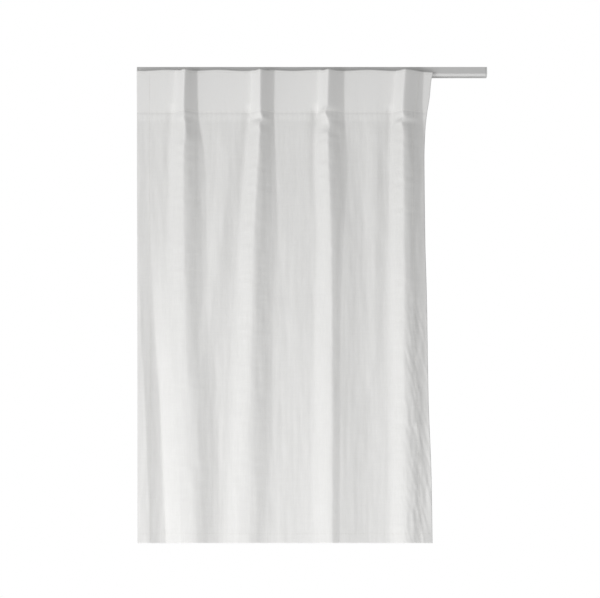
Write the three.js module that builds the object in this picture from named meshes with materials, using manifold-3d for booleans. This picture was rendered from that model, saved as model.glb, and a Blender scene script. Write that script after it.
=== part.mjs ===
// A pleated fabric curtain panel that hangs from gliders in a ceiling track.
// Millimetres, +Z up, +X along the track, -Y towards the room. The origin is on the
// track's top face, the face that lies against the ceiling, at the middle of its length.
import * as THREE from 'three';
import { mergeVertices } from 'three/addons/utils/BufferGeometryUtils.js';
import Module from 'manifold-3d';

const wasm = await Module();
wasm.setup();

// ---- driving dimensions -------------------------------------------------------------
const GAP = 0.3;
const OVERLAP = 1; // how far joined shapes run into each other before they are merged

const TRACK_LENGTH = 764;
const TRACK_DEPTH = 30;
const TRACK_HEIGHT = 20;
const TRACK_FACE_HEIGHT = 15; // flat part of the front face, above the sloping lip
const TRACK_LIP_SLOPE = 3; // how far the sloping lip leans back
const TRACK_WALL = 1.8;
const TRACK_LIP = 2.5; // thickness of the two ledges that the gliders run on
const SLOT_WIDTH = 8;
const SCREW_HOLE_DIAMETER = 4.5;
const SCREW_HOLE_X = [-300, 300];
const SCREW_HOLE_SIDES = 24;

const END_CAP_PLATE = 3;
const END_CAP_TONGUE = 4;

const PLEAT_X = [-279, -114, 35, 203]; // the four pleats, hand-spaced along the track
const GLIDER_BESIDE_PLEAT = -56; // a glider hangs at the pleat's foot, where the tape lies flat
const END_GLIDER_X = { left: -371, right: 244 };
const PANEL_EDGE_X = { left: -384, right: 266 };
const SIDE_HEM = 30;

const CLOTH_TOP = -11; // the heading stands up in front of the track
const SEAM_LEVEL = -103; // stitched lower edge of the heading band
const CLOTH_BOTTOM = -1043;
const BOTTOM_HEM = 22;
const TAPE_MARGIN = 5; // tape is this much narrower than the band, above and below

const FLAT_Y = -23; // the flats between pleats hang just clear of the track
// A pleat in the heading, as [x from its ridge, y from the flats].
const PLEAT_PLAN = [
  [-50, 0],
  [-32, 2], // small pocket beside the pleat
  [-18, -8],
  [0, -26], // the ridge
  [15, -10],
  [26, 1],
];
const RIDGE_Y = -49; // front of a soft fold below the heading
const FOLD_MIDDLE_Y = -28.5;
const FOLD_MIDDLE_X = { left: -25, right: 18 }; // from the ridge to the middle of each slope
const FOLD_FOOT = { shift: -12, y: -12 }; // the back of the fold, beside the halfway point
const FOLD_MEETING_Y = -10; // where two folds meet
const CLOTH = 1.2;
const TAPE = 1;
const HEM_THICKNESS = 2.4;
const STEPS_PER_POINT = 6;
const END_EASE_STEPS = 5;

const GLIDER = { flangeX: 12, flangeY: 19, flangeZ: 3, stemX: 5, stemY: 6, eyeR: 5.2, holeR: 3 };
const EYE_LEVEL = -29;
const EYE_THICKNESS = 3;
const EYE_SIDES = 20;

const HOOK_WIRE = 1.6;
const HOOK_STEPS = 44;
const HOOK_SIDES = 8;
const HOOK_Y = -19.2; // the hook's legs lie against the back of the tape
const HOOK_LEG_SPREAD = 6;
const HOOK_LEG_BOTTOM = -78;
const HOOK_LEG_TOP = -48;
const HOOK_CORNER = { across: 1, up: 6 }; // how the legs round into their bottom bend
// The neck from the tip to the first leg, as [y, z from where the wire rests in the eye].
const HOOK_NECK = [
  [4.6, -5],
  [4.4, -1.6],
  [2.6, 0],
  [-2.6, 0],
  [-10, 2],
  [-16.5, 0.5],
  [HOOK_Y, -6],
  [HOOK_Y, -12],
];

// ---- materials ----------------------------------------------------------------------
const look = (color, roughness, metalness) =>
  new THREE.MeshStandardMaterial({ color, roughness, metalness });
const aluminium = look(0xb9b9b6, 0.45, 0.8);
const whitePlastic = look(0xe9e8e4, 0.5, 0);
const steel = look(0xb4b6b8, 0.3, 1);
const cloth = look(0xe6e3dc, 0.95, 0);
const tapeCloth = look(0xf0eee9, 0.9, 0);

// ---- solids and booleans ------------------------------------------------------------
function toSolid(geometry) {
  const bare = geometry.clone();
  bare.deleteAttribute('normal');
  bare.deleteAttribute('uv');
  const merged = mergeVertices(bare.index ? bare.toNonIndexed() : bare, 1e-4);
  return new wasm.Manifold(
    new wasm.Mesh({
      numProp: 3,
      vertProperties: new Float32Array(merged.attributes.position.array),
      triVerts: new Uint32Array(merged.index.array),
    }),
  );
}

function toGeometry(solid) {
  const { vertProperties, triVerts } = solid.getMesh();
  const geometry = new THREE.BufferGeometry();
  geometry.setAttribute('position', new THREE.BufferAttribute(vertProperties, 3));
  geometry.setIndex(new THREE.BufferAttribute(triVerts, 1));
  geometry.computeVertexNormals();
  return geometry;
}

function box(sizeX, sizeY, sizeZ, x, y, z) {
  return new THREE.BoxGeometry(sizeX, sizeY, sizeZ).translate(x, y, z);
}

function named(name, geometry, material) {
  const mesh = new THREE.Mesh(geometry, material);
  mesh.name = name;
  return mesh;
}

// An outline drawn in (y, z), extruded along X from x = start by length.
function extrudeAlongX(outline, start, length) {
  const shape = new THREE.Shape(outline.map(([y, z]) => new THREE.Vector2(y, z)));
  const geometry = new THREE.ExtrudeGeometry(shape, { depth: length, bevelEnabled: false });
  const axes = new THREE.Matrix4().makeBasis(
    new THREE.Vector3(0, 1, 0),
    new THREE.Vector3(0, 0, 1),
    new THREE.Vector3(1, 0, 0),
  );
  return geometry.applyMatrix4(axes).translate(start, 0, 0);
}

// ---- track --------------------------------------------------------------------------
function trackOutline() {
  const half = TRACK_DEPTH / 2;
  return [
    [-half, 0],
    [-half, -TRACK_FACE_HEIGHT],
    [-half + TRACK_LIP_SLOPE, -TRACK_HEIGHT],
    [half - TRACK_LIP_SLOPE, -TRACK_HEIGHT],
    [half, -TRACK_FACE_HEIGHT],
    [half, 0],
  ];
}

function trackProfile() {
  const half = TRACK_DEPTH / 2;
  const inner = half - TRACK_WALL;
  const ledge = -TRACK_HEIGHT + TRACK_LIP;
  const slot = SLOT_WIDTH / 2;
  const outline = [
    [-half, 0],
    [-half, -TRACK_FACE_HEIGHT],
    [-half + TRACK_LIP_SLOPE, -TRACK_HEIGHT],
    [-slot, -TRACK_HEIGHT],
    [-slot, ledge],
    [-inner + TRACK_LIP_SLOPE / 2, ledge],
    [-inner, -TRACK_FACE_HEIGHT],
    [-inner, -TRACK_WALL],
    [inner, -TRACK_WALL],
    [inner, -TRACK_FACE_HEIGHT],
    [inner - TRACK_LIP_SLOPE / 2, ledge],
    [slot, ledge],
    [slot, -TRACK_HEIGHT],
    [half - TRACK_LIP_SLOPE, -TRACK_HEIGHT],
    [half, -TRACK_FACE_HEIGHT],
    [half, 0],
  ];
  let track = toSolid(extrudeAlongX(outline, -TRACK_LENGTH / 2, TRACK_LENGTH));
  for (const x of SCREW_HOLE_X) {
    const radius = SCREW_HOLE_DIAMETER / 2;
    const drill = new THREE.CylinderGeometry(radius, radius, 4 * TRACK_WALL, SCREW_HOLE_SIDES);
    track = track.subtract(toSolid(drill.rotateX(Math.PI / 2).translate(x, 0, 0)));
  }
  return toGeometry(track);
}

// A plate the shape of the track's outside, with a tongue that plugs into the channel.
function endCap(side) {
  const outside = (side * TRACK_LENGTH) / 2 + side * GAP;
  const plateStart = Math.min(outside, outside + side * END_CAP_PLATE);
  const plate = extrudeAlongX(trackOutline(), plateStart, END_CAP_PLATE);
  const tongueHeight = TRACK_HEIGHT - TRACK_WALL - TRACK_LIP - 2 * GAP;
  const tongueWidth = TRACK_DEPTH - 2 * TRACK_WALL - TRACK_LIP_SLOPE - 2 * GAP;
  const tongue = box(
    END_CAP_TONGUE + OVERLAP,
    tongueWidth,
    tongueHeight,
    outside - (side * (END_CAP_TONGUE - OVERLAP)) / 2,
    0,
    -TRACK_WALL - GAP - tongueHeight / 2,
  );
  return toGeometry(toSolid(plate).add(toSolid(tongue)));
}

// ---- glider -------------------------------------------------------------------------
// A flange runs on the ledges, a stem passes down the slot, and an eye takes the hook.
function glider(x) {
  const { flangeX, flangeY, flangeZ, stemX, stemY, eyeR, holeR } = GLIDER;
  const ledge = -TRACK_HEIGHT + TRACK_LIP;
  const flangeLow = ledge + GAP;
  const flange = box(flangeX, flangeY, flangeZ, x, 0, flangeLow + flangeZ / 2);
  const stemTop = flangeLow + OVERLAP;
  const stemLow = EYE_LEVEL + eyeR - OVERLAP;
  const stem = box(stemX, stemY, stemTop - stemLow, x, 0, (stemTop + stemLow) / 2);
  const eyeShape = new THREE.Shape().absarc(0, 0, eyeR, 0, 2 * Math.PI);
  eyeShape.holes.push(new THREE.Path().absarc(0, 0, holeR, 0, 2 * Math.PI, true));
  const eye = new THREE.ExtrudeGeometry(eyeShape, {
    depth: EYE_THICKNESS,
    bevelEnabled: false,
    curveSegments: EYE_SIDES,
  });
  eye.rotateX(Math.PI / 2).translate(x, EYE_THICKNESS / 2, EYE_LEVEL);
  return toGeometry(toSolid(flange).add(toSolid(stem)).add(toSolid(eye)));
}

// ---- hook ---------------------------------------------------------------------------
// One bent wire: its tip hangs in the glider's eye, and its two legs hold the tape.
function hook(x) {
  const rest = EYE_LEVEL - GLIDER.holeR + HOOK_WIRE / 2 + 2 * GAP; // low in the eye
  const far = x + HOOK_LEG_SPREAD;
  const { across, up } = HOOK_CORNER;
  const route = new THREE.CatmullRomCurve3(
    [
      ...HOOK_NECK.map(([y, z]) => [x, y, rest + z]),
      [x, HOOK_Y, HOOK_LEG_BOTTOM + up],
      [x + across, HOOK_Y, HOOK_LEG_BOTTOM + across],
      [x + HOOK_LEG_SPREAD / 2, HOOK_Y, HOOK_LEG_BOTTOM - across],
      [far - across, HOOK_Y, HOOK_LEG_BOTTOM + across],
      [far, HOOK_Y, HOOK_LEG_BOTTOM + up],
      [far, HOOK_Y, HOOK_LEG_TOP],
    ].map((point) => new THREE.Vector3(...point)),
  );
  const section = new THREE.Shape().absarc(0, 0, HOOK_WIRE / 2, 0, 2 * Math.PI);
  return new THREE.ExtrudeGeometry(section, {
    steps: HOOK_STEPS,
    extrudePath: route,
    curveSegments: HOOK_SIDES / 2,
    bevelEnabled: false,
  });
}

// ---- cloth --------------------------------------------------------------------------
// The plan of a cloth strip: a smooth line through the points, thickened from near to far,
// which are measured from that line towards the room (negative) or the wall (positive).
function clothStrip(points, near, far, low, high) {
  const line = new THREE.SplineCurve(points.map(([x, y]) => new THREE.Vector2(x, y)));
  const steps = STEPS_PER_POINT * (points.length - 1);
  const front = [];
  const back = [];
  for (let i = 0; i <= steps; i += 1) {
    const at = line.getPoint(i / steps);
    const along = line.getTangent(i / steps);
    // The strip's ends are eased square to X, so that neighbours meet cleanly.
    const ease = Math.min(1, Math.min(i, steps - i) / END_EASE_STEPS);
    const toWall = new THREE.Vector2(0, 1).lerp(new THREE.Vector2(-along.y, along.x), ease).normalize();
    front.push(at.clone().addScaledVector(toWall, near));
    back.push(at.clone().addScaledVector(toWall, far));
  }
  const shape = new THREE.Shape([...front, ...back.reverse()]);
  const strip = new THREE.ExtrudeGeometry(shape, { depth: high - low, bevelEnabled: false });
  return strip.translate(0, 0, low);
}

// The heading across one pleat, from the flat on its left to the flat on its right.
function headingPlan(left, pleat, right) {
  return [
    [left, FLAT_Y],
    ...PLEAT_PLAN.map(([x, y]) => [pleat + x, FLAT_Y + y]),
    [right, FLAT_Y],
  ];
}

// The same fold lower down, where it has opened into a soft wave. It meets a side hem in
// the plane of the flats.
function foldPlan(left, pleat, right, atLeftHem, atRightHem) {
  return [
    [left, atLeftHem ? FLAT_Y : FOLD_MEETING_Y],
    [(left + pleat) / 2 + FOLD_FOOT.shift, FOLD_FOOT.y],
    [pleat + FOLD_MIDDLE_X.left, FOLD_MIDDLE_Y],
    [pleat, RIDGE_Y],
    [pleat + FOLD_MIDDLE_X.right, FOLD_MIDDLE_Y],
    [right, atRightHem ? FLAT_Y : FOLD_MEETING_Y],
  ];
}

function sideHem(left, right) {
  const plan = [
    [left, FLAT_Y],
    [(left + right) / 2, FLAT_Y],
    [right, FLAT_Y],
  ];
  return clothStrip(plan, -HEM_THICKNESS / 2, HEM_THICKNESS / 2, CLOTH_BOTTOM, CLOTH_TOP);
}

// ---- assembly -----------------------------------------------------------------------
const curtain = new THREE.Group();
curtain.add(named('track_profile', trackProfile(), aluminium));
curtain.add(named('end_cap_left', endCap(-1), whitePlastic));
curtain.add(named('end_cap_right', endCap(1), whitePlastic));

for (const [side, x] of Object.entries(END_GLIDER_X)) {
  curtain.add(named(`glider_${side}_end`, glider(x), whitePlastic));
  curtain.add(named(`hook_${side}_end`, hook(x), steel));
}
const { left: leftEdge, right: rightEdge } = PANEL_EDGE_X;
curtain.add(named('side_hem_left', sideHem(leftEdge, leftEdge + SIDE_HEM), cloth));
curtain.add(named('side_hem_right', sideHem(rightEdge - SIDE_HEM, rightEdge), cloth));

const innerEdge = {
  left: leftEdge + SIDE_HEM + 3 * GAP,
  right: rightEdge - SIDE_HEM - 3 * GAP,
};
PLEAT_X.forEach((pleat, i) => {
  const n = i + 1;
  const left = (i === 0 ? innerEdge.left : (PLEAT_X[i - 1] + pleat) / 2) + GAP / 2;
  const right = (n === PLEAT_X.length ? innerEdge.right : (pleat + PLEAT_X[n]) / 2) - GAP / 2;
  const heading = headingPlan(left, pleat, right);
  const fold = foldPlan(left, pleat, right, i === 0, n === PLEAT_X.length);
  const halfCloth = CLOTH / 2;
  const halfHem = HEM_THICKNESS / 2;
  const tapeNear = halfCloth + GAP;
  const tapeLow = SEAM_LEVEL + TAPE_MARGIN;
  const tapeHigh = CLOTH_TOP - TAPE_MARGIN;
  const hemTop = CLOTH_BOTTOM + BOTTOM_HEM;
  const hangAt = pleat + GLIDER_BESIDE_PLEAT;
  curtain.add(named(`glider_${n}`, glider(hangAt), whitePlastic));
  curtain.add(named(`hook_${n}`, hook(hangAt), steel));
  curtain.add(named(
    `heading_${n}`,
    clothStrip(heading, -halfCloth, halfCloth, SEAM_LEVEL + GAP, CLOTH_TOP),
    cloth,
  ));
  curtain.add(named(
    `heading_tape_${n}`,
    clothStrip(heading, tapeNear, tapeNear + TAPE, tapeLow, tapeHigh),
    tapeCloth,
  ));
  curtain.add(named(
    `drop_${n}`,
    clothStrip(fold, -halfCloth, halfCloth, hemTop + GAP, SEAM_LEVEL),
    cloth,
  ));
  curtain.add(named(
    `bottom_hem_${n}`,
    clothStrip(fold, -halfHem, halfHem, CLOTH_BOTTOM, hemTop),
    cloth,
  ));
});

export default curtain;
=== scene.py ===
"""A pleated fabric curtain panel on a ceiling track. Metres, in the frame of the CAD model."""
import math

import bpy
import numpy as np
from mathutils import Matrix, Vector, noise


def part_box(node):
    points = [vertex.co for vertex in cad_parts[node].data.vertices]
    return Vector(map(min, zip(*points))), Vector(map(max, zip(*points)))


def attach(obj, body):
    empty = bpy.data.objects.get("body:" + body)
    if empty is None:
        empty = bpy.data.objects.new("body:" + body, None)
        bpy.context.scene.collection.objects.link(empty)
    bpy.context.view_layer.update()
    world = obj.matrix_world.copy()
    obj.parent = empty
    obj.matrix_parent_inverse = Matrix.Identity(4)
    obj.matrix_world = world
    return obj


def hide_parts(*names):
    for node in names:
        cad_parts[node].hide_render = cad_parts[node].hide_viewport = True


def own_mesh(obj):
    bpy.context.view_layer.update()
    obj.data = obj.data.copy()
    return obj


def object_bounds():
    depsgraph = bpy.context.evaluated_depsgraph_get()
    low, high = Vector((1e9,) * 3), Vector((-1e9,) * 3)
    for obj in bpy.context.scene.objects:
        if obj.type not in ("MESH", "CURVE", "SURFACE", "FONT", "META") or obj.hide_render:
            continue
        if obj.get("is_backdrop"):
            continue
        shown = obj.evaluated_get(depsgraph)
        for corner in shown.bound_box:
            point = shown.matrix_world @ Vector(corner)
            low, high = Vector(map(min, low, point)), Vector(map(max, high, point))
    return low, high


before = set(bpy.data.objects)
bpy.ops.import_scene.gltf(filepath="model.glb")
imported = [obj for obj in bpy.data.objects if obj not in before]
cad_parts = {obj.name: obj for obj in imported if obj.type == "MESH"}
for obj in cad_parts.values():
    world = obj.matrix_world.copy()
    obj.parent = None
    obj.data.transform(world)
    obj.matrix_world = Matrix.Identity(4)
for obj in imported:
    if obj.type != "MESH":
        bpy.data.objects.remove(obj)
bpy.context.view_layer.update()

# ---- sizes taken from the frame ------------------------------------------------------
CLOTH_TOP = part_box("heading_1")[1][2]
SEAM_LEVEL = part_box("drop_1")[1][2]
CLOTH_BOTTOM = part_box("bottom_hem_1")[0][2]
HEM_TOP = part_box("bottom_hem_1")[1][2]
LEFT_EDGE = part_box("side_hem_left")[0][0]
RIGHT_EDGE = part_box("side_hem_right")[1][0]
SIDE_HEM = RIGHT_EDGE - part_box("side_hem_right")[0][0]
TAPE_LOW, TAPE_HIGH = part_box("heading_tape_1")[0][2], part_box("heading_tape_1")[1][2]
HOOKS_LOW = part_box("hook_1")[0][2]
PLEATS = [1, 2, 3, 4]

# ---- cloth shape ---------------------------------------------------------------------
# Every fold is a ridge that runs down the cloth. At each level it has a place along the
# track, a width to its left and right foot, and how far it stands out from the flats.
# A fold with a negative rise is a valley. Crispness is given where it isn't the usual one.
LEVELS = (-0.011, -0.103, -0.205, -0.380, -0.577, -0.760, -1.043)
FOLDS = {
    "pleat_1": {
        "ridge": (-0.279, -0.281, -0.280, -0.279, -0.273, -0.266, -0.258),
        "left": (0.019, 0.021, 0.030, 0.038, 0.048, 0.060, 0.070),
        "right": (0.025, 0.030, 0.042, 0.046, 0.050, 0.058, 0.062),
        "rise": (0.027, 0.027, 0.023, 0.017, 0.016, 0.016, 0.016),
    },
    "pleat_2": {
        "ridge": (-0.114, -0.114, -0.118, -0.126, -0.130, -0.133, -0.138),
        "left": (0.019, 0.020, 0.026, 0.034, 0.042, 0.050, 0.056),
        "right": (0.030, 0.029, 0.036, 0.047, 0.049, 0.050, 0.052),
        "rise": (0.027, 0.027, 0.024, 0.019, 0.017, 0.015, 0.013),
    },
    "pleat_3": {
        "ridge": (0.035, 0.033, 0.035, 0.041, 0.043, 0.043, 0.043),
        "left": (0.019, 0.020, 0.026, 0.030, 0.034, 0.038, 0.044),
        "right": (0.034, 0.036, 0.040, 0.026, 0.018, 0.016, 0.016),
        "rise": (0.027, 0.027, 0.021, 0.010, 0.006, 0.005, 0.005),
        "crispness": (0.92, 0.90, 0.75, 0.75, 0.85, 0.85, 0.85),
    },
    "pleat_4": {
        "ridge": (0.203, 0.198, 0.199, 0.200, 0.201, 0.203, 0.205),
        "left": (0.019, 0.020, 0.026, 0.032, 0.036, 0.038, 0.040),
        "right": (0.040, 0.042, 0.048, 0.050, 0.050, 0.052, 0.054),
        "rise": (0.027, 0.027, 0.026, 0.022, 0.019, 0.017, 0.015),
    },
    "left_valley": {
        "ridge": (-0.364, -0.364, -0.364, -0.354, -0.343, -0.330, -0.316),
        "left": (0.026, 0.026, 0.026, 0.026, 0.028, 0.030, 0.033),
        "right": (0.028, 0.028, 0.028, 0.028, 0.030, 0.032, 0.032),
        "rise": (0.000, 0.000, 0.000, -0.003, -0.009, -0.014, -0.016),
        "crispness": (0.90, 0.90, 0.90, 0.90, 0.90, 0.90, 0.90),
    },
    "soft_fold_1": {
        "ridge": (-0.182, -0.182, -0.182, -0.200, -0.222, -0.235, -0.245),
        "left": (0.030, 0.030, 0.030, 0.030, 0.024, 0.030, 0.030),
        "right": (0.034, 0.034, 0.032, 0.030, 0.036, 0.040, 0.040),
        "rise": (0.000, 0.000, 0.003, 0.0045, 0.003, 0.0015, 0.001),
    },
    "shoulder_3": {
        "ridge": (0.035, 0.033, 0.035, 0.041, 0.043, 0.043, 0.043),
        "left": (0.030, 0.030, 0.032, 0.036, 0.040, 0.044, 0.048),
        "right": (0.050, 0.050, 0.060, 0.074, 0.084, 0.088, 0.092),
        "rise": (0.000, 0.000, 0.004, 0.011, 0.013, 0.014, 0.014),
    },
    "soft_fold_3": {
        "ridge": (0.142, 0.142, 0.142, 0.138, 0.137, 0.136, 0.136),
        "left": (0.030, 0.030, 0.030, 0.024, 0.026, 0.030, 0.030),
        "right": (0.014, 0.014, 0.014, 0.020, 0.020, 0.020, 0.020),
        "rise": (0.000, 0.001, 0.003, 0.0035, 0.002, 0.001, 0.000),
    },
}
# The cloth between its folds, and its two side edges, at the same levels.
FLAT_Y = (-0.023, -0.023, -0.019, -0.016, -0.015, -0.015, -0.015)
LEFT_SIDE = (-0.385, -0.384, -0.3835, -0.382, -0.3805, -0.379, -0.377)
# The free edge bends more often, so it has levels of its own.
RIGHT_SIDE_LEVELS = (
    -0.011, -0.030, -0.070, -0.103, -0.140, -0.205, -0.380, -0.510, -0.730, -0.905, -1.043,
)
RIGHT_SIDE = (
    0.266, 0.262, 0.258, 0.2525, 0.2485, 0.246, 0.247, 0.250, 0.2525, 0.258, 0.2595,
)

# The share of a fold that is a straight-sided crease, at each level. The rest is a wave.
CRISPNESS = (0.92, 0.90, 0.65, 0.45, 0.35, 0.3, 0.25)
# How round the crease's tip is, as a share of its width.
CREASE_RADIUS = 0.06
# A hollow runs down beside each pleat's left foot. It is shallow as far down as the hooks
# reach, so that they stay clear of the cloth when it gathers, and it ends below the band.
POCKET_DEPTH = 0.004
BAND_POCKET_DEPTH = 0.0006
POCKET_WIDTH = 0.018
POCKET_END, POCKET_FULL = -0.30, -0.12
POCKET_BLEND = 0.004
# Below the band a pleat's ridge wanders sideways: how far, over what length, and the
# distances above and below the seam between which it sets in.
RIDGE_WANDER = 0.0016
WANDER_LENGTH = 0.013
WANDER_ABOVE, WANDER_BELOW = 0.004, 0.012
# Where a ridge jogs sideways near the seam: level, half height, sideways shift.
JOGS = {
    "pleat_1": ((-0.150, 0.030, 0.004),),
    "pleat_2": ((-0.118, 0.007, 0.005),),
    "pleat_3": ((-0.106, 0.010, -0.006), (-0.134, 0.012, 0.003)),
    "pleat_4": ((-0.128, 0.006, -0.004), (-0.117, 0.006, 0.003)),
}

# Small dents where the stiff band lets go of the soft cloth: x, z, radius, depth.
KINKS = (
    (0.192, -0.130, 0.012, 0.002),
    (0.016, -0.108, 0.014, 0.003),
    (0.034, -0.133, 0.013, 0.004),
    (-0.116, -0.116, 0.013, 0.0015),
    (-0.262, -0.140, 0.016, 0.003),
)
# A dent's width over its height.
KINK_PROPORTION = 0.8

# Below the seam the single cloth hangs a little nearer the wall, down to the given levels.
STEP_BACK = 0.0022
STEP_BACK_HEIGHT = 0.022
STEP_BACK_FULL, STEP_BACK_END = -0.2, -0.42
# Unevenness of the soft cloth: depth, size along the track, size downwards, noise seed.
UNEVENNESS = (
    (0.0014, 0.045, 0.28, 3.1),
    (0.0008, 0.020, 0.20, 11.3),
    (0.00045, 0.009, 0.09, 17.9),
)
# How far below the seam the cloth has become fully soft.
SOFT_BELOW_SEAM = 0.05
# Fine unevenness of all the cloth. The stiff band has a share of it, and the soft cloth
# has that share plus the whole.
FINE_UNEVENNESS = (0.0004, 0.016, 0.05, 7.7)
FINE_IN_BAND = 0.35
# Puckers along the seam: depth, pitch, distance below the seam, reach, and the drift of
# their places in radians with its two sizes and seed.
PUCKER_DEPTH = 0.00014
PUCKER_PITCH = 0.011
PUCKER_DROP = 0.006
PUCKER_REACH = 0.014
PUCKER_DRIFT = (2.2, 0.05, 0.2, 1.3)
# Crinkles along the free side hem: depth, where they set in along the track and
# downwards, the bend of their lines, and two sets that lean opposite ways. A set has its
# share, lean, way of bending, two sizes and seed.
CRINKLE_DEPTH = 0.0010
CRINKLES_FROM_X, CRINKLES_FULL_X = 0.178, 0.222
CRINKLES_FROM_Z, CRINKLES_FULL_Z = -0.42, -0.66
CRINKLE_BEND = (0.005, 0.030, 0.035, 4.4)
CRINKLE_SETS = (
    (1.0, 0.22, 1, 0.0070, 0.055, 5.2),
    (0.7, -0.15, -1, 0.0085, 0.040, 9.4),
)
# The groove that the band's seam presses into the cloth.
SEAM_GROOVE_DEPTH = 0.0004
SEAM_GROOVE_WIDTH = 0.0018

# The top edge. It droops at the free corner, and between the pleats it stands higher, more
# and less in turn along the track. Both begin at the first level and grow upwards.
TOP_EDGE_BELOW = -0.060
CORNER_DROOP = 0.0045
CORNER_FROM_X, CORNER_FULL_X = 0.222, 0.245
TOP_LIFT = 0.0026
TOP_LIFT_WAVE = 0.45
TOP_LIFT_PITCH = 0.11
TOP_LIFT_START = 0.8
# The lift has died out where the cloth stands out by this share of a pleat's rise.
PLEAT_RISE = FOLDS["pleat_1"]["rise"][0]
LIFT_ENDS_AT = 0.55

# The grid of the whole cloth.
COLUMNS = 330
ROWS = 380
CLOTH_THICKNESS = 0.0006


def smooth_levels(z, levels, values):
    """Values given at falling levels, read off at heights z by a monotone cubic."""
    x = -np.asarray(levels)
    y = np.asarray(values, dtype=float)
    step = np.diff(x)
    slope = np.diff(y) / step
    tangent = np.zeros_like(y)
    tangent[0] = slope[0]
    tangent[-1] = slope[-1]
    same_way = slope[:-1] * slope[1:] > 0
    weight = (step[1:] + 2 * step[:-1], 2 * step[1:] + step[:-1])
    with np.errstate(divide="ignore", invalid="ignore"):
        harmonic = (weight[0] + weight[1]) / (weight[1] / slope[:-1] + weight[0] / slope[1:])
    tangent[1:-1] = np.where(same_way, harmonic, 0.0)
    at = np.clip(-np.asarray(z, dtype=float), x[0], x[-1])
    i = np.clip(np.searchsorted(x, at) - 1, 0, len(x) - 2)
    t = (at - x[i]) / step[i]
    h00 = 2 * t**3 - 3 * t**2 + 1
    h10 = t**3 - 2 * t**2 + t
    h01 = -2 * t**3 + 3 * t**2
    h11 = t**3 - t**2
    start = h00 * y[i] + h10 * step[i] * tangent[i]
    return start + h01 * y[i + 1] + h11 * step[i] * tangent[i + 1]


def fold_rise(name, x, z):
    """How far one fold stands out at each (x, z), as a crease blended with a soft wave."""
    fold = FOLDS[name]
    ridge = smooth_levels(z, LEVELS, fold["ridge"])
    left = smooth_levels(z, LEVELS, fold["left"])
    right = smooth_levels(z, LEVELS, fold["right"])
    rise = smooth_levels(z, LEVELS, fold["rise"])
    left_foot, right_foot = ridge - left, ridge + right
    for level, height, shift in JOGS.get(name, ()):
        ridge = ridge + shift * bump(z - level, height)
    if name in JOGS:
        below_band = smoothstep(SEAM_LEVEL + WANDER_ABOVE, SEAM_LEVEL - WANDER_BELOW, z)
        seed = float(ord(name[-1]))
        ridge = ridge + RIDGE_WANDER * line_noise(z, WANDER_LENGTH, seed) * below_band
    away_left = (ridge - x) / (ridge - left_foot)
    away_right = (x - ridge) / (right_foot - ridge)
    away = np.where(x < ridge, away_left, away_right)
    soft = 0.5 * (1 + np.cos(np.pi * np.clip(away, 0, 1)))
    crease = np.clip(1 + CREASE_RADIUS - np.sqrt(away**2 + CREASE_RADIUS**2), 0, None)
    crispness = smooth_levels(z, LEVELS, fold.get("crispness", CRISPNESS))
    stands_out = rise * (crispness * crease + (1 - crispness) * soft)
    if name in JOGS:
        fades = smoothstep(POCKET_END, POCKET_FULL, z)
        at_hooks = smoothstep(SEAM_LEVEL - POCKET_BLEND, HOOKS_LOW, z)
        depth = (POCKET_DEPTH * (1 - at_hooks) + BAND_POCKET_DEPTH * at_hooks) * fades
        beside_foot = bump(x - left_foot + POCKET_WIDTH / 3, POCKET_WIDTH / 2)
        stands_out = stands_out - depth * beside_foot
    return stands_out


def bump(distance, radius):
    """A round hill, 1 in its middle."""
    return np.exp(-((distance / radius) ** 2))


def smoothstep(low, high, value):
    """0 at low and 1 at high, with a smooth start and end. High may lie below low."""
    t = np.clip((value - low) / (high - low), 0, 1)
    return t * t * (3 - 2 * t)


def drift(x, z, size_x, size_z, seed):
    """Smooth, repeatable unevenness between -1 and 1."""
    places = zip(np.ravel(x), np.ravel(z))
    values = [noise.noise(Vector((a / size_x, b / size_z, seed))) for a, b in places]
    return np.reshape(values, np.shape(x))


# Where the noise is read along a line. Any place serves.
LINE_NOISE_X = 0.37


def line_noise(z, size, seed):
    """Smooth unevenness of a grid of heights z that is the same all along each row."""
    heights = np.ravel(z[:, :1])
    values = np.array([noise.noise(Vector((LINE_NOISE_X, h / size, seed))) for h in heights])
    return values.reshape(-1, 1)


def cloth_depth(x, z):
    """The cloth's Y at each (x, z)."""
    y = smooth_levels(z, LEVELS, FLAT_Y)
    below_seam = smoothstep(SEAM_LEVEL, SEAM_LEVEL - STEP_BACK_HEIGHT, z)
    y = y + STEP_BACK * below_seam * smoothstep(STEP_BACK_END, STEP_BACK_FULL, z)
    for name in FOLDS:
        y = y - fold_rise(name, x, z)
    for kink_x, kink_z, radius, depth in KINKS:
        y = y + depth * bump(np.hypot(x - kink_x, (z - kink_z) * KINK_PROPORTION), radius)
    is_soft = smoothstep(SEAM_LEVEL, SEAM_LEVEL - SOFT_BELOW_SEAM, z)
    for depth, size_x, size_z, seed in UNEVENNESS:
        y = y + depth * is_soft * drift(x, z, size_x, size_z, seed)
    depth, size_x, size_z, seed = FINE_UNEVENNESS
    y = y + depth * drift(x, z, size_x, size_z, seed) * (FINE_IN_BAND + is_soft)
    y = y + PUCKER_DEPTH * puckers(x, z)
    y = y + CRINKLE_DEPTH * crinkles(x, z)
    return y + SEAM_GROOVE_DEPTH * bump(z - SEAM_LEVEL, SEAM_GROOVE_WIDTH)


def puckers(x, z):
    """Small waves that run down from the stitched seam and die out."""
    strength, size_x, size_z, seed = PUCKER_DRIFT
    shift = strength * drift(x, z, size_x, size_z, seed)
    wave = np.sin(x * 2 * math.pi / PUCKER_PITCH + shift)
    return wave * bump(z - SEAM_LEVEL + PUCKER_DROP, PUCKER_REACH)


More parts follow.
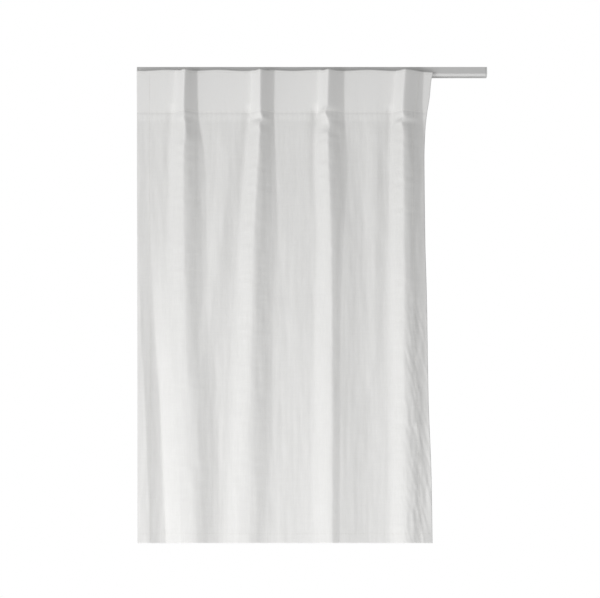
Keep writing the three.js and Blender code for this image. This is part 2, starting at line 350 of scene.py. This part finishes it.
def crinkles(x, z):
    """Short slanting crinkles along the free side hem."""
    strength, size_x, size_z, seed = CRINKLE_BEND
    bend = strength * drift(x, z, size_x, size_z, seed)
    slant = np.zeros_like(x)
    for share, lean, way, size_x, size_z, seed in CRINKLE_SETS:
        slant = slant + share * drift(x + lean * z + way * bend, z, size_x, size_z, seed)
    on_hem = smoothstep(CRINKLES_FROM_X, CRINKLES_FULL_X, x)
    return slant * (on_hem * smoothstep(CRINKLES_FROM_Z, CRINKLES_FULL_Z, z))


def cloth_grid(
    left=0.0, right=1.0, low=CLOTH_BOTTOM, high=CLOTH_TOP, columns=COLUMNS, rows=ROWS
):
    """Points of part of the cloth; left and right are shares of its width."""
    share = np.linspace(left, right, columns + 1)[None, :]
    z = np.linspace(high, low, rows + 1)[:, None] + 0 * share
    return cloth_points(share + 0 * z, z)


def cloth_points(share, z):
    """Points of the cloth at shares of its width and heights, both given as grids."""
    x_left = smooth_levels(z, LEVELS, LEFT_SIDE)
    x_right = smooth_levels(z, RIGHT_SIDE_LEVELS, RIGHT_SIDE)
    x = x_left + share * (x_right - x_left)
    y = cloth_depth(x, z)
    at_top = smoothstep(TOP_EDGE_BELOW, CLOTH_TOP, z)
    droop = CORNER_DROOP * smoothstep(CORNER_FROM_X, CORNER_FULL_X, x) * at_top
    stands_out = sum(fold_rise(name, x, z) for name in JOGS) / PLEAT_RISE
    uneven = 1 + TOP_LIFT_WAVE * np.sin(x * 2 * math.pi / TOP_LIFT_PITCH + TOP_LIFT_START)
    between_pleats = smoothstep(LIFT_ENDS_AT, 0.0, stands_out)
    droop = droop - TOP_LIFT * uneven * between_pleats * at_top
    return np.stack([x, y, z - droop], axis=-1)


def grid_normals(points):
    """Unit normals that point to the wall."""
    across = np.gradient(points, axis=1)
    down = np.gradient(points, axis=0)
    normal = np.cross(across, down)
    normal /= np.linalg.norm(normal, axis=-1, keepdims=True)
    return normal * np.sign(normal[..., 1:2])


# ---- mesh helpers --------------------------------------------------------------------
def new_piece(name, vertices, faces):
    """A smooth-shaded mesh piece."""
    points = [tuple(map(float, vertex)) for vertex in vertices]
    corners = [tuple(map(int, face)) for face in faces]
    mesh = bpy.data.meshes.new(name)
    mesh.from_pydata(points, [], corners)
    mesh.validate()
    mesh.shade_smooth()
    piece = bpy.data.objects.new(name, mesh)
    bpy.context.scene.collection.objects.link(piece)
    return piece


def grid_faces(rows, columns):
    """The four-sided faces of a grid whose points are listed row by row."""
    i, j = np.mgrid[0:rows, 0:columns]
    a = i * (columns + 1) + j
    corners = np.stack([a, a + 1, a + columns + 2, a + columns + 1], axis=-1)
    return corners.reshape(-1, 4)


def sheet_piece(name, points):
    """A grid of points made into cloth with a thickness."""
    rows, columns = points.shape[0] - 1, points.shape[1] - 1
    piece = new_piece(name, points.reshape(-1, 3), grid_faces(rows, columns))
    solidify = piece.modifiers.new("thickness", "SOLIDIFY")
    solidify.thickness = CLOTH_THICKNESS
    solidify.offset = 0
    return piece


def gather(piece):
    """The piece rides on the track's body, with a mesh of its own."""
    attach(piece, "track")
    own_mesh(piece)
    return piece


# ---- materials -----------------------------------------------------------------------
# Noise of the threads, per metre across and down the cloth, and how detailed it is.
WARP = (760.0, 22.0, 3.0)
WEFT = (30.0, 760.0, 3.0)
CLOUDS = (30.0, 9.0, 4.0)
NOISE_ROUGHNESS = 0.6
WEFT_SHARE = 0.6
THREAD_SHARE = 0.5
CLOUD_SHARE = 0.3
# The tones that become the cloth's darkest and lightest colour.
DARK_TONE, LIGHT_TONE = 0.35, 0.75
THREAD_RELIEF = 0.0004
GRAIN_RELIEF = 0.0002
GRAIN_DETAIL = 4.0
CLOTH_ROUGHNESS = 0.92
CLOTH_SPECULAR = 0.15
CLOTH_SHEEN = 0.12
CLOTH_SHEEN_ROUGHNESS = 0.5
# Where the painted shade below the band has faded out and the single cloth has its full
# brightness.
PAINTED_SHADE_END = -0.60


class Nodes:
    """A small helper that adds nodes to one material and links them."""

    def __init__(self, name):
        self.material = bpy.data.materials.new(name)
        self.material.use_nodes = True
        self.tree = self.material.node_tree
        self.shader = self.tree.nodes["Principled BSDF"]

    def add(self, kind, **values):
        """A new node; each value is a property, or the socket of that name."""
        node = self.tree.nodes.new(kind)
        for key, value in values.items():
            if hasattr(node, key):
                setattr(node, key, value)
            else:
                node.inputs[key.replace("_", " ")].default_value = value
        return node

    def link(self, source, target):
        self.tree.links.new(source, target)


def woven_cloth(name, dark, light, bump_strength, band=0.0, shade_below_band=1.0):
    """Plain woven cloth of crossing threads with a soft sheen.

    band is added to the tone of the doubled cloth above the seam, and shade_below_band is the
    brightness of the cloth just below it: a painted shade under the band, which fades out
    further down.
    """
    n = Nodes(name)
    where = n.add("ShaderNodeTexCoord").outputs["Object"]

    def streaks(scale_x, scale_z, detail):
        mapping = n.add("ShaderNodeMapping")
        mapping.inputs["Scale"].default_value = (scale_x, scale_x, scale_z)
        n.link(where, mapping.inputs["Vector"])
        texture = n.add("ShaderNodeTexNoise", Scale=1.0, Detail=detail)
        texture.inputs["Roughness"].default_value = NOISE_ROUGHNESS
        n.link(mapping.outputs["Vector"], texture.inputs["Vector"])
        return texture.outputs["Fac"]

    def combine(a, b, operation="ADD"):
        math_node = n.add("ShaderNodeMath", operation=operation)
        for socket, value in zip(math_node.inputs, (a, b)):
            if isinstance(value, (int, float)):
                socket.default_value = value
            else:
                n.link(value, socket)
        return math_node.outputs[0]

    def set_range(node, start, end, low=0.0, high=1.0):
        node.inputs["From Min"].default_value = start
        node.inputs["From Max"].default_value = end
        node.inputs["To Min"].default_value = low
        node.inputs["To Max"].default_value = high

    warp = streaks(*WARP)
    weft = combine(streaks(*WEFT), WEFT_SHARE, "MULTIPLY")
    cloudy = combine(streaks(*CLOUDS), CLOUD_SHARE, "MULTIPLY")
    threads = combine(warp, weft)
    tone = combine(combine(threads, THREAD_SHARE, "MULTIPLY"), cloudy)
    height = n.add("ShaderNodeSeparateXYZ")
    n.link(where, height.inputs[0])
    in_band = combine(height.outputs["Z"], SEAM_LEVEL, "GREATER_THAN")
    tone = combine(tone, combine(in_band, band, "MULTIPLY"))
    ramp = n.add("ShaderNodeMapRange")
    set_range(ramp, DARK_TONE, LIGHT_TONE)
    n.link(tone, ramp.inputs["Value"])
    mix = n.add("ShaderNodeMix", data_type="RGBA")
    mix.inputs["A"].default_value = (*dark, 1)
    mix.inputs["B"].default_value = (*light, 1)
    n.link(ramp.outputs["Result"], mix.inputs["Factor"])
    # painted shade: the single cloth is darkened just below the seam, under the band, and the
    # painted shade fades out further down
    fade = n.add("ShaderNodeMapRange")
    set_range(fade, PAINTED_SHADE_END, SEAM_LEVEL, 1.0, shade_below_band)
    n.link(height.outputs["Z"], fade.inputs["Value"])
    shade = combine(fade.outputs["Result"], in_band, "MAXIMUM")
    shaded = n.add("ShaderNodeVectorMath", operation="SCALE")
    n.link(mix.outputs["Result"], shaded.inputs[0])
    n.link(shade, shaded.inputs["Scale"])
    n.link(shaded.outputs["Vector"], n.shader.inputs["Base Color"])
    bumps = n.add("ShaderNodeBump", Strength=bump_strength, Distance=THREAD_RELIEF)
    n.link(threads, bumps.inputs["Height"])
    n.link(bumps.outputs["Normal"], n.shader.inputs["Normal"])
    n.shader.inputs["Roughness"].default_value = CLOTH_ROUGHNESS
    n.shader.inputs["Specular IOR Level"].default_value = CLOTH_SPECULAR
    n.shader.inputs["Sheen Weight"].default_value = CLOTH_SHEEN
    n.shader.inputs["Sheen Roughness"].default_value = CLOTH_SHEEN_ROUGHNESS
    return n.material


def noisy_surface(name, color, vary, roughness, metallic, grain, bump_strength):
    """Metal or plastic whose colour and height vary faintly; grain is per metre in X, Y, Z."""
    n = Nodes(name)
    where = n.add("ShaderNodeTexCoord").outputs["Object"]
    mapping = n.add("ShaderNodeMapping")
    mapping.inputs["Scale"].default_value = grain
    n.link(where, mapping.inputs["Vector"])
    mottling = n.add("ShaderNodeTexNoise", Scale=1.0, Detail=GRAIN_DETAIL)
    n.link(mapping.outputs["Vector"], mottling.inputs["Vector"])
    mix = n.add("ShaderNodeMix", data_type="RGBA")
    mix.inputs["A"].default_value = (*[c * (1 - vary) for c in color], 1)
    mix.inputs["B"].default_value = (*[min(1, c * (1 + vary)) for c in color], 1)
    n.link(mottling.outputs["Fac"], mix.inputs["Factor"])
    n.link(mix.outputs["Result"], n.shader.inputs["Base Color"])
    bumps = n.add("ShaderNodeBump", Strength=bump_strength, Distance=GRAIN_RELIEF)
    n.link(mottling.outputs["Fac"], bumps.inputs["Height"])
    n.link(bumps.outputs["Normal"], n.shader.inputs["Normal"])
    n.shader.inputs["Roughness"].default_value = roughness
    n.shader.inputs["Metallic"].default_value = metallic
    return n.material


# The cloth's colour carries a painted shade just below the band, which fades out further down.
CLOTH = woven_cloth(
    "curtain_cloth", dark=(0.778, 0.775, 0.764), light=(0.848, 0.845, 0.836),
    bump_strength=0.30, band=0.25, shade_below_band=0.968,
)
TAPE = woven_cloth(
    "tape_cloth", dark=(0.78, 0.775, 0.75), light=(0.86, 0.855, 0.835), bump_strength=0.6,
)
THREAD = woven_cloth(
    "thread", dark=(0.74, 0.73, 0.69), light=(0.82, 0.81, 0.78), bump_strength=0.5,
)
ALUMINIUM = noisy_surface(
    "track_metal", color=(0.66, 0.66, 0.655), vary=0.04, roughness=0.5, metallic=0.2,
    grain=(3, 400, 400), bump_strength=0.15,
)
CAP = noisy_surface(
    "cap_plastic", color=(0.62, 0.62, 0.615), vary=0.03, roughness=0.55, metallic=0.0,
    grain=(300, 300, 300), bump_strength=0.1,
)
GLIDER = noisy_surface(
    "glider_plastic", color=(0.83, 0.825, 0.80), vary=0.03, roughness=0.4, metallic=0.0,
    grain=(200, 200, 200), bump_strength=0.1,
)
STEEL = noisy_surface(
    "hook_steel", color=(0.60, 0.60, 0.61), vary=0.06, roughness=0.3, metallic=1.0,
    grain=(500, 500, 90), bump_strength=0.1,
)


def dress(name, material):
    """Gives a carried-over node its material."""
    node = bpy.data.objects[name]
    node.data.materials.clear()
    node.data.materials.append(material)


# ---- pieces --------------------------------------------------------------------------
# The distance between two layers of cloth, middle to middle.
PLY_GAP = 0.0009
# A side hem's width as a share of the cloth's.
HEM_SHARE = SIDE_HEM / (RIGHT_EDGE - LEFT_EDGE)
SIDE_HEM_COLUMNS = 20
BOTTOM_HEM_ROWS = 12

# The sewn tape: its inset from the cloth's edges as a share of the width, how far it lies
# behind the cloth in layers, and the raised bars that make its hook pockets.
TAPE_INSET = 0.012
TAPE_COLUMNS, TAPE_ROWS = 560, 60
TAPE_LAYERS = 1.2
BAR_RELIEF = 0.0007
BAR_PITCH = 0.0125
BAR_SLOPE = (0.2, 0.5)
# The lower and upper edge of each row of pockets, as shares of the tape's height.
POCKET_ROWS = ((0.08, 0.46), (0.54, 0.92))
POCKET_EDGE = 0.03

STITCH_PITCH = 0.0036
STITCH_LENGTH = 0.0027
STITCH_RADIUS = 0.00028
STITCH_SIDES, STITCH_RINGS = 6, 5
# In thread radii: how far a stitch's ends dip, how high its middle rises above them, and
# how thin its ends are.
STITCH_DIP = 0.6
STITCH_ARCH = 1.6
STITCH_END = 0.55
# Points along each row of stitches, and the small moves that find the cloth's slope.
ROW_POINTS = 900
SHARE_MOVE, DOWN_MOVE = 0.002, -0.001
# How far the rows of stitches stay from the edges they hold, as shares or in metres.
ROW_END_SHARE, ROW_END = 0.004, 0.004
SEAM_INSET, TOP_INSET, HEM_INSET, HEM_INSET_SHARE = 0.0025, 0.001, 0.0025, 0.003


def finished(piece, material, slot, *nodes):
    """A piece with its material, standing for the given nodes, that rides on the track; slot is
    not used.
    """
    piece.data.materials.append(material)
    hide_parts(*nodes)
    return gather(piece)


def behind(points, gap, folded_edge):
    """The same cloth laid behind itself by a gap, and meeting it at the folded edge."""
    rows, columns = points.shape[:2]
    lift = np.full((rows, columns), gap)
    if folded_edge == "left":
        lift[:, 0] = 0.0
    if folded_edge == "right":
        lift[:, -1] = 0.0
    if folded_edge == "bottom":
        lift[-1, :] = 0.0
    return points + grid_normals(points) * lift[..., None]


def side_hem(side):
    """The cloth turned back along one side edge."""
    left, right = (0.0, HEM_SHARE) if side == "left" else (1 - HEM_SHARE, 1.0)
    points = behind(cloth_grid(left, right, columns=SIDE_HEM_COLUMNS), PLY_GAP, side)
    piece = sheet_piece(f"side_hem_fold_{side}", points)
    return finished(piece, CLOTH, "curtain_cloth", f"side_hem_{side}")


def bottom_hem():
    """The cloth turned up along the lower edge, behind the side hems."""
    points = behind(cloth_grid(high=HEM_TOP, rows=BOTTOM_HEM_ROWS), 2 * PLY_GAP, "bottom")
    piece = sheet_piece("bottom_hem_fold", points)
    return finished(piece, CLOTH, "curtain_cloth", *[f"bottom_hem_{n}" for n in PLEATS])


def heading_tape():
    """A firm woven tape sewn behind the heading, with two rows of raised hook pockets."""
    points = cloth_grid(
        TAPE_INSET, 1 - TAPE_INSET, TAPE_LOW, TAPE_HIGH, TAPE_COLUMNS, TAPE_ROWS
    )
    along = np.linspace(0, 1, TAPE_COLUMNS + 1)[None, :] * (RIGHT_EDGE - LEFT_EDGE)
    up = (points[..., 2] - TAPE_LOW) / (TAPE_HIGH - TAPE_LOW)
    bars = smoothstep(*BAR_SLOPE, np.sin(along * 2 * math.pi / BAR_PITCH))
    in_rows = np.zeros_like(up)
    for low, high in POCKET_ROWS:
        above_low = smoothstep(low, low + POCKET_EDGE, up)
        in_rows = in_rows + above_low * smoothstep(high, high - POCKET_EDGE, up)
    lift = TAPE_LAYERS * PLY_GAP + BAR_RELIEF * bars * in_rows
    points = points + grid_normals(points) * lift[..., None]
    piece = sheet_piece("sewn_heading_tape", points)
    return finished(piece, TAPE, "tape_cloth", *[f"heading_tape_{n}" for n in PLEATS])


def stitch_tube(start, end, outward, vertices, faces):
    """One stitch: a short thread that dips into the cloth at both ends."""
    sides, rings = STITCH_SIDES, STITCH_RINGS
    along = end - start
    across = np.cross(along, outward)
    across /= np.linalg.norm(across)
    first = len(vertices)
    for ring in range(rings):
        t = ring / (rings - 1)
        arch = math.sin(math.pi * t)
        rise = STITCH_RADIUS * (STITCH_ARCH * arch - STITCH_DIP)
        centre = start + along * t + outward * rise
        radius = STITCH_RADIUS * (STITCH_END + (1 - STITCH_END) * arch)
        for side in range(sides):
            turn = 2 * math.pi * side / sides
            vertices.append(centre + radius * (math.cos(turn) * across + math.sin(turn) * outward))
    for ring in range(rings - 1):
        for side in range(sides):
            a = first + ring * sides + side
            b = first + ring * sides + (side + 1) % sides
            faces.append((a, b, b + sides, a + sides))
    faces.append(tuple(first + side for side in reversed(range(sides))))
    faces.append(tuple(first + (rings - 1) * sides + side for side in range(sides)))


def stitch_row(name, share, z, facing):
    """Stitches along a line on the cloth, given by shares of the width and heights.

    facing is -1 for the room side and 1 for the wall side.
    """
    share, z = share[:, None], z[:, None]
    still = np.zeros((1, 2))
    line = cloth_points(share + np.array([[0.0, SHARE_MOVE]]), z + still)
    dip = cloth_points(share + still, z + np.array([[0.0, DOWN_MOVE]]))
    across = line[:, 1] - line[:, 0]
    down = dip[:, 1] - dip[:, 0]
    outward = np.cross(across, down)
    outward /= np.linalg.norm(outward, axis=-1, keepdims=True)
    outward *= np.sign(outward[:, 1:2]) * facing
    at = line[:, 0]
    steps = np.linalg.norm(np.diff(at, axis=0), axis=-1)
    travelled = np.concatenate([[0], np.cumsum(steps)])
    layers_behind = 0 if facing < 0 else 2
    proud = CLOTH_THICKNESS / 2 + layers_behind * PLY_GAP
    vertices, faces = [], []
    for begin in np.arange(STITCH_PITCH / 2, travelled[-1] - STITCH_LENGTH, STITCH_PITCH):
        ends = []
        for distance in (begin, begin + STITCH_LENGTH):
            ends.append(np.array([np.interp(distance, travelled, at[:, k]) for k in range(3)]))
        out = np.array([np.interp(begin, travelled, outward[:, k]) for k in range(3)])
        out /= np.linalg.norm(out)
        stitch_tube(ends[0] + out * proud, ends[1] + out * proud, out, vertices, faces)
    piece = new_piece(name, vertices, faces)
    piece.data.materials.append(THREAD)
    return gather(piece)


def stitching():
    """Every visible row of stitches, on the room side and on the wall side."""
    across = np.linspace(ROW_END_SHARE, 1 - ROW_END_SHARE, ROW_POINTS)
    down = np.linspace(CLOTH_TOP - ROW_END, CLOTH_BOTTOM + ROW_END, ROW_POINTS)
    level = np.ones_like(across)
    rows = {
        "band_seam": (across, (SEAM_LEVEL + SEAM_INSET) * level),
        "band_top_seam": (across, (TAPE_HIGH - TOP_INSET) * level),
        "bottom_hem_seam": (across, (HEM_TOP - HEM_INSET) * level),
        "left_hem_seam": ((HEM_SHARE - HEM_INSET_SHARE) * level, down),
        "right_hem_seam": ((1 - HEM_SHARE + HEM_INSET_SHARE) * level, down),
    }
    pieces = []
    for name, (share, z) in rows.items():
        pieces.append(stitch_row(f"{name}_front", share, z, -1))
        pieces.append(stitch_row(f"{name}_back", share, z, 1))
    return pieces


def face_cloth():
    """The whole hung cloth, which stands for the heading and drop nodes."""
    points = cloth_grid()
    piece = sheet_piece("face_cloth", points)
    nodes = [f"{kind}_{n}" for n in PLEATS for kind in ("heading", "drop")]
    finished(piece, CLOTH, "curtain_cloth", *nodes)


sewn = [side_hem("left"), side_hem("right"), bottom_hem(), heading_tape()] + stitching()
face_cloth()


# ---- carried-over CAD nodes ----------------------------------------------------------
dress("track_profile", ALUMINIUM)
for side in ("left", "right"):
    dress(f"end_cap_{side}", CAP)
    dress(f"glider_{side}_end", GLIDER)
    dress(f"hook_{side}_end", STEEL)
for n in PLEATS:
    dress(f"glider_{n}", GLIDER)
    dress(f"hook_{n}", STEEL)


# ---- stage, light and camera ---------------------------------------------------------
# The floor lies far enough below the cloth to stay out of sight from the front, and it
# reaches far out, so that its edge looks like a horizon from above.
FLOOR_DROP = 3.0
FLOOR_REACH = 40.0
FLOOR_GREY = 0.86
FLOOR_ROUGHNESS = 0.8
FLOOR_GLOW = 0.20
WHITE = (1, 1, 1, 1)
WORLD_GLOW = 0.29
# A long lens a little below the cloth's lower edge, tilted up.
SENSOR_WIDTH_MM = 36
LENS_MM = 152.7
CAMERA_PLACE = (-0.0264, -5.53, -1.10)
CAMERA_TILT_DEGREES = 6.07
CAMERA_CLIP_END = 60


def floor():
    """A plain pale floor with a faint glow of its own."""
    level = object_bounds()[0][2] - FLOOR_DROP
    reach = FLOOR_REACH
    corners = [(-reach, -reach), (reach, -reach), (reach, reach), (-reach, reach)]
    mesh = bpy.data.meshes.new("floor")
    mesh.from_pydata([(x, y, level) for x, y in corners], [], [(0, 1, 2, 3)])
    piece = bpy.data.objects.new("floor", mesh)
    bpy.context.scene.collection.objects.link(piece)
    n = Nodes("pale_floor")
    n.shader.inputs["Base Color"].default_value = (FLOOR_GREY, FLOOR_GREY, FLOOR_GREY, 1)
    n.shader.inputs["Roughness"].default_value = FLOOR_ROUGHNESS
    n.shader.inputs["Emission Color"].default_value = WHITE
    n.shader.inputs["Emission Strength"].default_value = FLOOR_GLOW
    mesh.materials.append(n.material)
    piece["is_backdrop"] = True


def area_light(name, location, aim, size, power):
    """A soft rectangular light in watts that points at a place."""
    data = bpy.data.lights.new(name, "AREA")
    data.shape = "RECTANGLE"
    data.size, data.size_y = size
    data.energy = power
    light = bpy.data.objects.new(name, data)
    light.location = location
    light.visible_camera = False
    towards = Vector(aim) - Vector(location)
    light.rotation_euler = towards.to_track_quat("-Z", "Y").to_euler()
    bpy.context.scene.collection.objects.link(light)


def white_world():
    """White behind the object, and a weaker even glow from all round."""
    world = bpy.data.worlds.new("studio")
    world.use_nodes = True
    tree = world.node_tree
    background = tree.nodes["Background"]
    background.inputs["Color"].default_value = WHITE
    background.inputs["Strength"].default_value = WORLD_GLOW
    backdrop = tree.nodes.new("ShaderNodeBackground")
    backdrop.inputs["Color"].default_value = WHITE
    backdrop.inputs["Strength"].default_value = 1.0
    seen = tree.nodes.new("ShaderNodeLightPath")
    mix = tree.nodes.new("ShaderNodeMixShader")
    tree.links.new(seen.outputs["Is Camera Ray"], mix.inputs["Fac"])
    tree.links.new(background.outputs[0], mix.inputs[1])
    tree.links.new(backdrop.outputs[0], mix.inputs[2])
    tree.links.new(mix.outputs[0], tree.nodes["World Output"].inputs["Surface"])
    bpy.context.scene.world = world


def camera():
    """The camera of the front view."""
    data = bpy.data.cameras.new("camera")
    data.sensor_width = SENSOR_WIDTH_MM
    data.lens = LENS_MM
    data.clip_end = CAMERA_CLIP_END
    piece = bpy.data.objects.new("camera", data)
    piece.location = CAMERA_PLACE
    piece.rotation_euler = (math.radians(90 + CAMERA_TILT_DEGREES), 0, 0)
    bpy.context.scene.collection.objects.link(piece)
    bpy.context.scene.camera = piece


floor()
white_world()
area_light("key", location=(-3.5, -4.3, -0.9), aim=(0, 0, -0.7), size=(2.0, 2.6), power=98)
area_light("low_key", location=(-2.3, -1.4, -1.9), aim=(-0.05, 0, -1.0), size=(1.4, 0.8), power=16)
area_light("low_fill", location=(0.2, -1.9, -2.1), aim=(0.05, 0, -1.0), size=(2.0, 0.6), power=13)
area_light("rear", location=(2.4, 3.4, 0.9), aim=(0, 0, -0.5), size=(2.5, 2.5), power=80)
camera()
bpy.context.scene.view_settings.view_transform = "Standard"
